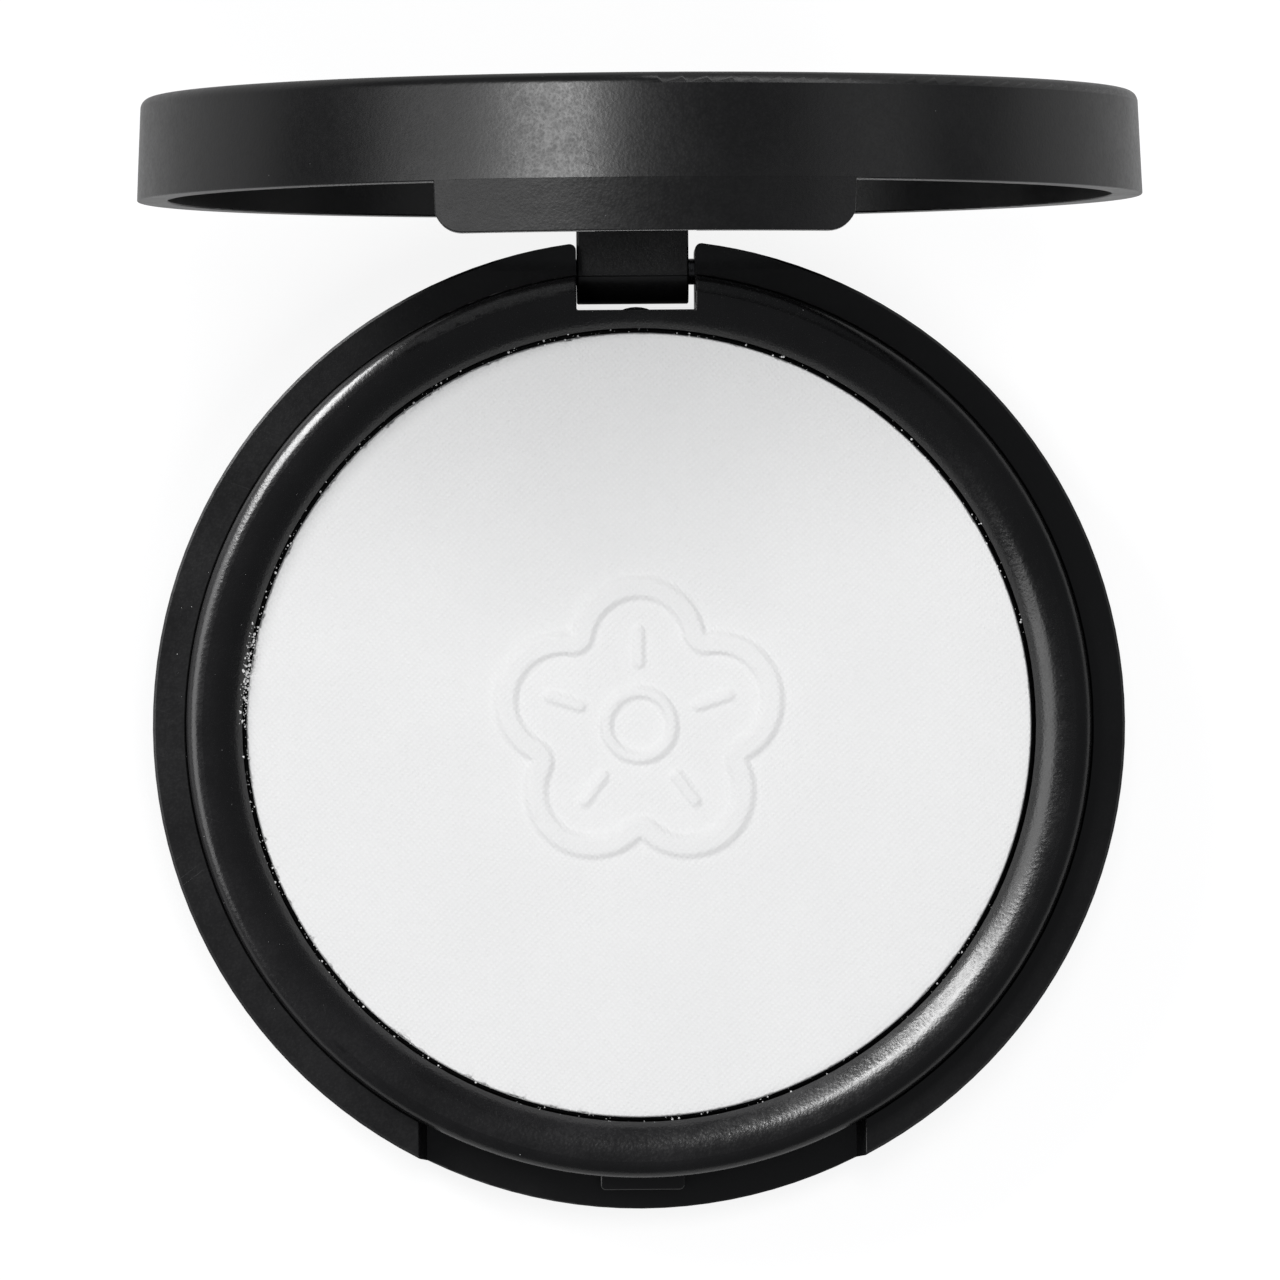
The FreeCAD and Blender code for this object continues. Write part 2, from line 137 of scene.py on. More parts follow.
# New tree with named sockets; an input's row is (name, kind, value).
def newTree(name, kind, inputs, outputs):
    tree = bpy.data.node_groups.new(name, kind)
    for label, socketKind, value in inputs:
        socket = tree.interface.new_socket(label, in_out="INPUT", socket_type=socketKind)
        if value is not None:
            socket.default_value = value
    for label, socketKind in outputs:
        tree.interface.new_socket(label, in_out="OUTPUT", socket_type=socketKind)
    inlet = tree.nodes.new("NodeGroupInput")
    outlet = tree.nodes.new("NodeGroupOutput")
    return tree, {label: Wire(tree, inlet.outputs[label]) for label, _, _ in inputs}, outlet.inputs


# Fine moulded grain: a height and a slow mottle. Its sizes are in millimetres.
def makeGrainGroup():
    tree, given, made = newTree(
        "moulded grain", "ShaderNodeTree",
        [("Vector", "NodeSocketVector", None), ("Grain size", "NodeSocketFloat", 0.12),
         ("Mottle size", "NodeSocketFloat", 6.0)],
        [("Height", "NodeSocketFloat"), ("Mottle", "NodeSocketFloat")])
    place = scaled(given["Vector"], 1 / mm)
    pits = out(add(tree, "ShaderNodeTexVoronoi", {"Vector": place, "Scale": 1.0 / given["Grain size"]},
                   feature="SMOOTH_F1"))
    fine = noise(place, 1.7 / given["Grain size"], detail=1.0)
    coarse = noise(place, 0.32 / given["Grain size"], detail=2.0)
    connect(0.5 * pits + 0.35 * fine + 0.5 * coarse, made["Height"])
    connect(noise(place, 1.0 / given["Mottle size"], detail=4.0, roughness=0.6), made["Mottle"])
    return tree


# Hair scratches in three directions and small specks of dust.
def makeHandlingGroup():
    tree, given, made = newTree(
        "handling marks", "ShaderNodeTree",
        [("Vector", "NodeSocketVector", None), ("Scratch amount", "NodeSocketFloat", 0.5),
         ("Dust size", "NodeSocketFloat", 1.4)],
        [("Scratches", "NodeSocketFloat"), ("Dust", "NodeSocketFloat")])
    place = scaled(given["Vector"], 1 / mm)
    marks = None
    for turn in (0.35, 1.4, 2.5):
        turned = out(add(tree, "ShaderNodeVectorRotate", {"Vector": place, "Angle": turn},
                         rotation_type="Z_AXIS"))
        x, y, z = split(turned)
        streak = noise(vector(tree, 0.16 * x, 9.0 * y, 4.0 * z), 1.0, detail=0.0)
        patch = noise(turned, 0.22, detail=1.0)
        line = ramp(streak, 0.80, 0.86) * ramp(patch, 0.5, 0.62)
        marks = line if marks is None else calc("MAXIMUM", marks, line)
    connect(marks * given["Scratch amount"], made["Scratches"])
    cells = add(tree, "ShaderNodeTexVoronoi", {"Vector": place, "Scale": 1.0 / given["Dust size"]})
    chance = split(out(cells, "Color"))[0]
    speck = ramp(out(cells, "Distance"), 0.045, 0.02) * ramp(chance, 0.80, 0.82)
    connect(speck, made["Dust"])
    return tree


# Where an edge has been rubbed smooth.
def makeEdgeGroup():
    tree, given, made = newTree(
        "rubbed edge", "ShaderNodeTree",
        [("Vector", "NodeSocketVector", None), ("Reach", "NodeSocketFloat", 0.2)],
        [("Edge", "NodeSocketFloat")])
    rounded = add(tree, "ShaderNodeBevel", {"Radius": given["Reach"] * mm}, samples=4)
    flat = add(tree, "ShaderNodeNewGeometry")
    likeness = out(add(tree, "ShaderNodeVectorMath", {0: out(rounded), 1: out(flat, "Normal")},
                       operation="DOT_PRODUCT"), "Value")
    broken = noise(scaled(given["Vector"], 1 / mm), 1.1, detail=3.0)
    connect(ramp(likeness, 0.982, 0.90) * ramp(broken, 0.38, 0.62, 0.35, 1.0), made["Edge"])
    return tree


grainGroup = makeGrainGroup()
handlingGroup = makeHandlingGroup()
edgeGroup = makeEdgeGroup()


def useGroup(tree, group, inputs):
    made = add(tree, "ShaderNodeGroup", node_tree=group)
    for name, value in inputs.items():
        connect(value, made.inputs[name])
    return made


def newMaterial(name, plain):
    material = bpy.data.materials.new(name)
    material.use_nodes = True
    tree = material.node_tree
    tree.nodes.clear()
    surface = add(tree, "ShaderNodeBsdfPrincipled", plain)
    output = add(tree, "ShaderNodeOutputMaterial")
    tree.links.new(surface.outputs[0], output.inputs["Surface"])
    place = out(add(tree, "ShaderNodeTexCoord"), "Object")
    return material, tree, surface, place


def mixColour(factor, first, second):
    made = add(factor.tree, "ShaderNodeMix", data_type="RGBA")
    connect(factor, made.inputs[0])
    for value, socket in ((first, made.inputs[6]), (second, made.inputs[7])):
        connect((*value, 1.0) if isinstance(value, tuple) else value, socket)
    return out(made, 2)


def bump(height, distance, under=None):
    made = add(height.tree, "ShaderNodeBump", {"Height": height, "Distance": distance})
    if under is not None:
        connect(under, made.inputs["Normal"])
    return out(made)


# The line that the two halves of the mould leave along the hinge knuckle.
def partingLine(place, seam):
    x, y, z = split(scaled(place, 1 / mm))
    ragged = (noise(vector(place.tree, x, 0.0, 0.0), 5.0, detail=3.0) - 0.5) * seam["ragged"]
    away = calc("ABSOLUTE", y - seam["y"] + ragged)
    onKnuckle = ramp(calc("ABSOLUTE", x), seam["half"] + 0.1, seam["half"])
    onKnuckle = onKnuckle * ramp(z, seam["top"] + 1.0, seam["top"])
    return ramp(away, seam["width"], 0.0) * onKnuckle


dustColour = (0.22, 0.22, 0.22)
markDepth = 0.004 * mm      # of scratches and dust
seamDepth = 0.03 * mm
rubReach = 0.2              # how far from an edge the rubbing shows, in mm


# Black moulded plastic, for the case and, with a stronger grain, for the bead.
def blackPlastic(name, look):
    material, tree, surface, place = newMaterial(name, {"IOR": look["ior"], "Specular IOR Level": 0.5})
    grain = useGroup(tree, grainGroup, {"Vector": place, "Grain size": look["grainSize"], "Mottle size": 7.0})
    marks = useGroup(tree, handlingGroup, {"Vector": place, "Scratch amount": look["scratches"]})
    edge = useGroup(tree, edgeGroup, {"Vector": place, "Reach": rubReach})
    mottle = out(grain, "Mottle")
    scratches = out(marks, "Scratches")
    dust = out(marks, "Dust")
    rubbed = out(edge, "Edge")
    body = mixColour(ramp(mottle, 0.3, 0.7), look["dark"], look["light"])
    body = mixColour(rubbed * 0.5 + scratches * 0.25, body, look["worn"])
    body = mixColour(dust * look["dust"], body, dustColour)
    connect(body, surface.inputs["Base Color"])
    height = out(grain, "Height")
    rough = ramp(mottle, 0.25, 0.75, look["roughness"] - 0.03, look["roughness"] + 0.03)
    rough = rough + ramp(height, 0.35, 0.85, 0.04, -0.04)
    rough = rough - rubbed * 0.07 + scratches * 0.12 + dust * 0.3
    connect(rough, surface.inputs["Roughness"])
    skin = bump(height, look["grainDepth"])
    skin = bump(mottle, look["waviness"], under=skin)
    skin = bump(scratches * -1.0 + dust, markDepth, under=skin)
    if "seam" in look:
        skin = bump(partingLine(place, look["seam"]), seamDepth, under=skin)
    connect(skin, surface.inputs["Normal"])
    return material


caseLook = {"ior": 1.5, "dark": (0.0026, 0.0025, 0.0027), "light": (0.0040, 0.0039, 0.0042),
            "worn": (0.020, 0.020, 0.021), "roughness": 0.34, "grainSize": 0.22, "grainDepth": 0.009 * mm,
            "waviness": 0.02 * mm, "scratches": 0.5, "dust": 0.5}
beadLook = {"ior": 1.5, "dark": (0.0026, 0.0025, 0.0027), "light": (0.0042, 0.0040, 0.0044),
            "worn": (0.018, 0.018, 0.019), "roughness": 0.27, "grainSize": 0.24, "grainDepth": 0.019 * mm,
            "waviness": 0.02 * mm, "scratches": 0.7, "dust": 0.6}
pinLow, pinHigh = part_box("hinge_pin")
seam = {"y": (pinLow.y + pinHigh.y) / 2 / mm - 0.35, "half": 4.5, "top": 7.0, "width": 0.07, "ragged": 0.08}
caseBlack = blackPlastic("case black", caseLook)
lidBlack = blackPlastic("lid black", {**caseLook, "seam": seam})
beadBlack = blackPlastic("bead black", beadLook)
print("black plastics made")


steelLook = {"dark": (0.10, 0.10, 0.105), "light": (0.17, 0.17, 0.175), "smoothest": 0.22, "roughest": 0.38,
             "ringsPerMm": 26.0, "ringDepth": 0.004 * mm}


# Turned steel, with fine rings round the pin.
def makeSteel(look):
    material, tree, surface, place = newMaterial("pin steel", {"Metallic": 1.0})
    x, y, z = split(scaled(place, 1 / mm))
    rings = noise(vector(tree, look["ringsPerMm"] * x, 0.6 * y, 0.6 * z), 1.0, detail=3.0)
    mottle = noise(scaled(place, 1 / mm), 0.9, detail=3.0)
    # the pin is coloured dark, 0.10 to 0.17, much darker than bare turned steel
    connect(mixColour(mottle, look["dark"], look["light"]), surface.inputs["Base Color"])
    connect(ramp(rings, 0.3, 0.7, look["smoothest"], look["roughest"]), surface.inputs["Roughness"])
    connect(bump(rings, look["ringDepth"]), surface.inputs["Normal"])
    return material


aluminiumLook = {"dark": (0.62, 0.62, 0.61), "light": (0.80, 0.80, 0.79), "smoothest": 0.28, "roughest": 0.46,
                 "drawDepth": 0.006 * mm}


# Drawn aluminium, streaked round the pan.
def makeAluminium(look):
    material, tree, surface, place = newMaterial("pan aluminium", {"Metallic": 1.0})
    x, y, z = split(scaled(place, 1 / mm))
    reach = calc("SQRT", x * x + y * y)
    drawn = noise(vector(tree, reach * 8.0, calc("ARCTAN2", y, x) * 3.0, z * 1.5), 1.0, detail=4.0)
    connect(mixColour(drawn, look["dark"], look["light"]), surface.inputs["Base Color"])
    connect(ramp(drawn, 0.3, 0.7, look["smoothest"], look["roughest"]), surface.inputs["Roughness"])
    connect(bump(drawn, look["drawDepth"]), surface.inputs["Normal"])
    return material


mirrorLook = {"clear": (0.86, 0.875, 0.87), "dusty": (0.79, 0.80, 0.80), "smoothest": 0.008, "roughest": 0.05,
              "scratches": 0.3, "dustSize": 1.9, "dustDepth": 0.002 * mm}


# Silvered glass with faint dust and wiping marks.
def makeMirror(look):
    material, tree, surface, place = newMaterial("mirror glass", {"Metallic": 1.0})
    marks = useGroup(tree, handlingGroup, {"Vector": place, "Scratch amount": look["scratches"],
                                           "Dust size": look["dustSize"]})
    wiped = noise(scaled(place, 1 / mm), 0.09, detail=4.0, roughness=0.62, distortion=1.2)
    dust = out(marks, "Dust")
    clouded = ramp(wiped, 0.4, 0.8) * 0.3 + dust
    connect(mixColour(clouded, look["clear"], look["dusty"]), surface.inputs["Base Color"])
    rough = ramp(wiped, 0.45, 0.8, look["smoothest"], look["roughest"])
    connect(rough + out(marks, "Scratches") * 0.1 + dust * 0.3, surface.inputs["Roughness"])
    connect(bump(dust, look["dustDepth"]), surface.inputs["Normal"])
    return material


tapeLook = {"dark": (0.30, 0.29, 0.27), "light": (0.40, 0.39, 0.36), "roughness": 0.75, "fibre": 0.5}
labelLook = {"dark": (0.60, 0.60, 0.59), "light": (0.68, 0.68, 0.67), "roughness": 0.45, "fibre": 0.8}
fibreDepth = 0.012 * mm


# Foam tape or glue, and the blank label: soft fibres under a film.
def makeFilm(name, look):
    material, tree, surface, place = newMaterial(name, {"IOR": 1.45})
    spread = scaled(place, 1 / mm)
    fibres = noise(spread, 1 / look["fibre"], detail=5.0, roughness=0.65, distortion=0.6)
    cells = out(add(tree, "ShaderNodeTexVoronoi", {"Vector": spread, "Scale": 2.2 / look["fibre"]}))
    connect(mixColour(ramp(fibres, 0.3, 0.7), look["dark"], look["light"]), surface.inputs["Base Color"])
    rough = ramp(fibres, 0.3, 0.7, look["roughness"] - 0.06, look["roughness"] + 0.06)
    connect(rough, surface.inputs["Roughness"])
    connect(bump(fibres + 0.4 * cells, fibreDepth), surface.inputs["Normal"])
    return material


# Pressed powder: cloth imprint, fine tooth, painted shade in the imprint's hollows, slight yellowing where
# the edge has crumbled.
def makePowder(look):
    material, tree, surface, place = newMaterial("pressed powder", {"IOR": 1.42, "Specular IOR Level": 0.2})
    spread = scaled(place, 1 / mm)
    x, y, _ = split(spread)
    drift = noise(spread, 0.35, detail=2.0) * 1.3
    threads = []
    for angle, pitch in (look["twill"], look["weft"]):
        along = x * (math.cos(angle) / pitch) + y * (math.sin(angle) / pitch)
        threads.append(calc("SINE", along * math.tau + drift))
    gaps = noise(spread, 1.6, detail=2.0)
    imprint = 0.6 * threads[0] + 0.6 * threads[1] + 0.5 * threads[0] * threads[1]
    imprint = imprint * ramp(gaps, 0.25, 0.7, 0.55, 1.0)
    tooth = noise(spread, 14.0, detail=3.0, roughness=0.7)
    cloudy = noise(spread, 0.12, detail=4.0)
    edge = out(add(tree, "ShaderNodeAttribute", attribute_name="edgeShare"), "Fac")
    crumbled = ramp(edge, 0.0, 1.0) * ramp(noise(spread, 0.8, detail=3.0), 0.4, 0.65)
    body = mixColour(ramp(cloudy, 0.3, 0.7), look["light"], look["shade"])
    body = mixColour(ramp(tooth, 0.62, 0.8) * 0.5, body, look["shade"])
    # painted shade: the imprint's hollows are coloured darker, where the imprint's own relief would cast
    # shade
    body = mixColour(ramp(imprint, -1.2, 1.2, 0.55, 0.0), body, look["paintedHollowShade"])
    body = mixColour(crumbled * 0.7, body, look["edge"])
    connect(body, surface.inputs["Base Color"])
    connect(ramp(tooth, 0.2, 0.8, 0.82, 1.0), surface.inputs["Roughness"])
    skin = bump(imprint, look["imprintDepth"])
    connect(bump(tooth, look["toothDepth"], under=skin), surface.inputs["Normal"])
    return material


powderLook = {"light": (0.890, 0.889, 0.885), "shade": (0.868, 0.867, 0.864), "paintedHollowShade": (0.845, 0.844, 0.842),
              "edge": (0.66, 0.62, 0.52),
              "twill": (math.radians(38), 0.31), "weft": (math.radians(-47), 0.36),
              "imprintDepth": 0.012 * mm, "toothDepth": 0.014 * mm}
steel = makeSteel(steelLook)
aluminium = makeAluminium(aluminiumLook)
mirrorGlass = makeMirror(mirrorLook)
foamTape = makeFilm("foam tape", tapeLook)
blankLabel = makeFilm("blank label", labelLook)
powder = makePowder(powderLook)

finishOf = {"base_shell": caseBlack, "lid_shell": lidBlack, "pan_tray": beadBlack, "hinge_pin": steel,
            "powder_pan": aluminium, "mirror": mirrorGlass, "pan_adhesive": foamTape,
            "mirror_adhesive": foamTape, "base_label": blankLabel}
for name, finish in finishOf.items():
    for slot in nodes[name].material_slots:
        slot.material = finish
print("finishes on the CAD pieces")


cakeLow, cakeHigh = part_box("powder_cake")
_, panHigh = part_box("powder_pan")
cake = {
    "Cells": 297,
    "Rings outside": 9,              # rings of the grid that go round the edge and down the side
    "Fine middle": 0.62,             # below 1 the grid is finer under the blossom
    "Radius": cakeHigh.x / mm,
    "Crown height": cakeHigh.z / mm,
    "Rim height": panHigh.z / mm,
    "Bottom height": cakeLow.z / mm,
    "Crown": 0.2,
    "Edge round": 0.12,
    "Side inset": 0.3,
    "Petals": 5.0,
    "Petal reach": 6.15,
    "Petal radius": 5.25,
    "Band width": 1.9,
    "Slope": 0.38,
    "Relief": 0.29,
    "Ring radius": 2.5,
    "Ring width": 1.25,
    "Ring slope": 0.45,
    "Vein length": 2.4,
    "Vein foot": 0.62,               # from the vein's line to where it starts to rise
    "Vein top": 0.15,
    "Vein share": 0.8,               # of the relief
    "Sway": 0.02,
    "Unevenness": 0.006,
    "Chip depth": 0.24,
    "Ragged": 0.13,
}


def band(distance, middle, width, slope):
    away = calc("ABSOLUTE", distance - middle)
    return ramp(away, width * 0.5, width * 0.5 - slope)


# Shares of the grid's outer rings: round the edge, down the side, in to the rim, down to the bottom.
edgeEnd, sideEnd, rimEnd = 0.56, 0.67, 0.78
nearCrumble = 0.972         # share of the radius from which the edge crumbles


# A round cake from a square grid, whose outer rings go round the edge and down the side.
def makeCakeTree():
    rows = [(name, "NodeSocketInt" if isinstance(value, int) else "NodeSocketFloat", value)
            for name, value in cake.items()]
    rows.append(("Finish", "NodeSocketMaterial", None))
    tree, given, made = newTree("pressed cake", "GeometryNodeTree", rows,
                                [("Geometry", "NodeSocketGeometry")])
    grid = add(tree, "GeometryNodeMeshGrid", {"Size X": 2.0, "Size Y": 2.0, "Vertices X": given["Cells"],
                                              "Vertices Y": given["Cells"]})
    a, b, _ = split(out(add(tree, "GeometryNodeInputPosition")))
    # the square's rings become circles
    first = calc("GREATER_THAN", calc("ABSOLUTE", a), calc("ABSOLUTE", b))
    second = 1.0 - first
    large = a * first + b * second
    small = b * first + a * second
    turn = small / large * (math.pi / 4)
    near = large * calc("COSINE", turn)
    side = large * calc("SINE", turn)
    unitX = near * first + side * second
    unitY = side * first + near * second
    ring = calc("ABSOLUTE", large)
    aimX = unitX / ring
    aimY = unitY / ring
    # top, round edge, side
    outer = 1.0 - given["Rings outside"] * 2.0 / (given["Cells"] - 1.0)
    share = calc("MINIMUM", ring / outer, 1.0)
    top = share * (given["Fine middle"] + (1.0 - given["Fine middle"]) * share * share)
    beyond = calc("MAXIMUM", (ring - outer) / (1.0 - outer), 0.0)
    corner = ramp(beyond, 0.0, edgeEnd, 0.0, math.pi / 2, smooth=False)
    inset = ramp(beyond, sideEnd, rimEnd, 0.0, given["Side inset"], smooth=False)
    reach = top * (given["Radius"] - given["Edge round"]) + given["Edge round"] * calc("SINE", corner) - inset
    edgeHeight = given["Crown height"] - given["Crown"]
    crown = edgeHeight + given["Crown"] * (1.0 - top * top)
    height = crown - given["Edge round"] * (1.0 - calc("COSINE", corner))
    lowered = ramp(beyond, edgeEnd, sideEnd, smooth=False)
    height = height + lowered * (given["Rim height"] + 0.01 - height)
    sunk = ramp(beyond, rimEnd, 1.0, smooth=False)
    height = height + sunk * (given["Bottom height"] - height)
    # crumbled edge, worst on the left
    aim = vector(tree, aimX, aimY, 0.0)
    broken = noise(aim, 17.0, detail=4.0, roughness=0.7)
    leftward = ramp(aimX, 0.2, -0.9, 0.3, 1.0)
    chips = ramp(broken, 0.50, 0.68) * leftward
    ragged = noise(aim, 95.0, detail=3.0, roughness=0.7) - 0.5
    nearEdge = ramp(top, nearCrumble, 1.0)
    atTop = 1.0 - lowered
    cut = (chips * given["Chip depth"] + ragged * given["Ragged"] * leftward) * nearEdge * atTop
    reach = reach - calc("MAXIMUM", cut, 0.0)
    height = height - cut * 0.35
    x = aimX * reach
    y = aimY * reach
    # raised blossom, by folding the turn into one petal
    span = 2 * math.pi / given["Petals"]
    bearing = calc("ARCTAN2", x, y)
    folded = calc("WRAP", bearing, span * 0.5, span * -0.5)
    fromMiddle = calc("SQRT", x * x + y * y)
    alongPetal = fromMiddle * calc("COSINE", folded)
    acrossPetal = calc("ABSOLUTE", fromMiddle * calc("SINE", folded))
    away = alongPetal - given["Petal reach"]
    petal = given["Petal radius"] - calc("SQRT", away * away + acrossPetal * acrossPetal)
    # where two petals meet, the band turns round the notch between them
    petalOff = given["Petal reach"] * calc("SINE", span * 0.5)
    petalOn = given["Petal reach"] * calc("COSINE", span * 0.5)
    notchReach = petalOn + calc("SQRT", given["Petal radius"] * given["Petal radius"] - petalOff * petalOff)
    notchAlong = notchReach * calc("COSINE", span * 0.5)
    notchAcross = notchReach * calc("SINE", span * 0.5)
    pastNotch = acrossPetal * (notchAlong - given["Petal reach"]) - away * notchAcross
    toNotch = calc("SQRT", (alongPetal - notchAlong) * (alongPetal - notchAlong)
                   + (acrossPetal - notchAcross) * (acrossPetal - notchAcross))
    beside = calc("GREATER_THAN", pastNotch, 0.0)
    inward = petal + beside * (toNotch - petal)
    outline = band(inward, given["Band width"] * 0.5, given["Band width"], given["Slope"])
    heart = band(fromMiddle, given["Ring radius"], given["Ring width"], given["Ring slope"])
    fromVein = calc("ABSOLUTE", alongPetal - given["Petal reach"] + 0.2)
    veinAway = calc("MAXIMUM", fromVein - given["Vein length"] * 0.5, 0.0)
    fromVeinLine = calc("SQRT", veinAway * veinAway + acrossPetal * acrossPetal)
    vein = ramp(fromVeinLine, given["Vein foot"], given["Vein top"]) * given["Vein share"]
    raised = calc("MAXIMUM", calc("MAXIMUM", outline, heart), vein)
    spread = vector(tree, x, y, 0.0)
    swayed = (noise(spread, 0.11, detail=2.0) - 0.5) * given["Sway"]
    uneven = swayed + (noise(spread, 2.2, detail=3.0) - 0.5) * given["Unevenness"]
    height = height + (raised * given["Relief"] + uneven * (1.0 - nearEdge)) * atTop
    placed = add(tree, "GeometryNodeSetPosition",
                 {"Geometry": out(grid), "Position": scaled(vector(tree, x, y, height), mm)})
    kept = add(tree, "GeometryNodeStoreNamedAttribute", {"Geometry": out(placed), "Name": "edgeShare"},
               data_type="FLOAT", domain="POINT")
    connect(ramp(top, 0.975, 1.0) * leftward, kept.inputs["Value"])
    smooth = add(tree, "GeometryNodeSetShadeSmooth", {"Geometry": out(kept)})
    whole = add(tree, "GeometryNodeRealizeInstances", {"Geometry": out(smooth)})
    finished = add(tree, "GeometryNodeSetMaterial", {"Geometry": out(whole), "Material": given["Finish"]})
    connect(out(finished), made["Geometry"])
    return tree


# The tree's result as a plain mesh on an object of its own.
def growPiece(name, tree, values):
    piece = bpy.data.objects.new(name, bpy.data.meshes.new(name))
    scene.collection.objects.link(piece)
    modifier = piece.modifiers.new("grow", "NODES")
    modifier.node_group = tree
    for item in tree.interface.items_tree:
        if item.in_out == "INPUT" and item.name in values:
            modifier[item.identifier] = values[item.name]
    bpy.context.view_layer.update()
    grown = piece.evaluated_get(bpy.context.evaluated_depsgraph_get())
    mesh = bpy.data.meshes.new_from_object(grown)
    piece.modifiers.clear()
    piece.data = mesh
    mesh.name = name
    return piece


# The grid leaves the underside open.
def closeUnderside(piece):
    shape = bmesh.new()
    shape.from_mesh(piece.data)
    rim = [edge for edge in shape.edges if len(edge.link_faces) == 1]
    bmesh.ops.holes_fill(shape, edges=rim, sides=0)
    bmesh.ops.recalc_face_normals(shape, faces=shape.faces)
    shape.to_mesh(piece.data)
    shape.free()


pressedCake = growPiece("pressed_cake", makeCakeTree(), {**cake, "Finish": powder})
closeUnderside(pressedCake)
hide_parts("powder_cake")
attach(pressedCake, "base")
print("pressed cake:", len(pressedCake.data.polygons), "faces")


_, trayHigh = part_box("pan_tray")
dropHeight = trayHigh.z / mm + 1
dropReach = 20
wedgeDepth = 0.22           # from the cake's edge down to the crumbs wedged in the gap
gapMouth = cake["Crown height"] - cake["Crown"] - wedgeDepth
gapCrumbs = {"Count": 430, "Inner": 29.70, "Outer": 30.22, "Facing": math.radians(172), "Spread": 5.6,
             "Small": 0.022, "Large": 0.10, "Above": dropHeight, "Mouth": gapMouth, "Seed": 5}
edgeSpill = {"Count": 210, "Inner": 29.45, "Outer": 30.45, "Facing": math.radians(172), "Spread": 0.26,
             "Small": 0.030, "Large": 0.12, "Above": dropHeight, "Mouth": gapMouth + 0.1, "Seed": 23}
beadSpecks = {"Count": 36, "Inner": 30.6, "Outer": 36.2, "Facing": math.radians(165), "Spread": 3.6,
              "Small": 0.010, "Large": 0.028, "Above": dropHeight, "Mouth": 0.0, "Seed": 11}


def randomNumber(tree, low, high, seed):
    made = add(tree, "FunctionNodeRandomValue", data_type="FLOAT")
    for value, socket in ((low, made.inputs[2]), (high, made.inputs[3]), (seed, made.inputs["Seed"])):
        connect(value, socket)
    return out(made, 1)


# Crumbs strewn over a stretch of ring and dropped on to whatever lies below.
def makeCrumbTree(surfaces):
    rows = [(name, "NodeSocketInt" if isinstance(value, int) else "NodeSocketFloat", value)
            for name, value in gapCrumbs.items()]
    rows.append(("Finish", "NodeSocketMaterial", None))
    tree, given, made = newTree("loose powder", "GeometryNodeTree", rows,
                                [("Geometry", "NodeSocketGeometry")])
    seed = given["Seed"]
    chance = randomNumber(tree, -0.5, 0.5, seed)
    bearing = given["Facing"] + given["Spread"] * chance * calc("SQRT", calc("ABSOLUTE", chance) * 2.0)
    reach = randomNumber(tree, given["Inner"], given["Outer"], seed + 1.0)
    place = vector(tree, reach * calc("COSINE", bearing), reach * calc("SINE", bearing), given["Above"])
    points = add(tree, "GeometryNodePoints", {"Count": given["Count"], "Position": scaled(place, mm)})
    ground = add(tree, "GeometryNodeJoinGeometry")
    for surface in surfaces:
        source = add(tree, "GeometryNodeObjectInfo", {"Object": surface})
        tree.links.new(source.outputs["Geometry"], ground.inputs[0])
    drop = add(tree, "GeometryNodeRaycast", {"Target Geometry": out(ground), "Ray Direction": (0, 0, -1),
                                             "Ray Length": dropReach * mm})
    # loose powder wedges in the mouth of the gap
    x, y, z = split(out(drop, "Hit Position"))
    rest = vector(tree, x, y, calc("MAXIMUM", z, given["Mouth"] * mm))
    landed = add(tree, "GeometryNodeSetPosition", {"Geometry": out(points), "Position": rest})
    missed = 1.0 - out(drop, "Is Hit")
    kept = add(tree, "GeometryNodeDeleteGeometry", {"Geometry": out(landed), "Selection": missed})
    grain = add(tree, "GeometryNodeMeshIcoSphere", {"Radius": 1.0, "Subdivisions": 2})
    size = randomNumber(tree, 0.0, 1.0, seed + 2.0)
    size = (given["Small"] + (given["Large"] - given["Small"]) * size * size * size) * mm
    squash = vector(tree, size * randomNumber(tree, 0.7, 1.3, seed + 3.0), size, size * 0.7)
    strewn = add(tree, "GeometryNodeInstanceOnPoints",
                 {"Points": out(kept), "Instance": out(grain), "Scale": squash,
                  "Rotation": vector(tree, 0.0, 0.0, randomNumber(tree, 0.0, math.tau, seed + 4.0))})
    whole = add(tree, "GeometryNodeRealizeInstances", {"Geometry": out(strewn)})
    here = out(add(tree, "GeometryNodeInputPosition"))
    away = out(add(tree, "GeometryNodeInputNormal"))
    rough = (noise(scaled(here, 1 / mm), 22.0, detail=1.0) - 0.5) * given["Large"] * mm * 0.5
    uneven = add(tree, "GeometryNodeSetPosition", {"Geometry": out(whole), "Offset": scaled(away, rough)})
    finished = add(tree, "GeometryNodeSetMaterial", {"Geometry": out(uneven), "Material": given["Finish"]})
    connect(out(finished), made["Geometry"])
    return tree


crumbTree = makeCrumbTree([nodes["pan_tray"], nodes["powder_pan"], nodes["base_shell"], pressedCake])
loosePowder = []
for name, strewing in (("gap_crumbs", gapCrumbs), ("edge_spill", edgeSpill), ("bead_specks", beadSpecks)):
    crumbs = growPiece(name, crumbTree, {**strewing, "Finish": powder})
    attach(crumbs, "base")
    loosePowder.append(crumbs)
    print(name + ":", len(crumbs.data.polygons), "faces")


floorLook = {"size": 3.0, "below": 0.05 * mm, "paint": 0.27, "glowSeen": 0.80, "glowLit": 0.32}


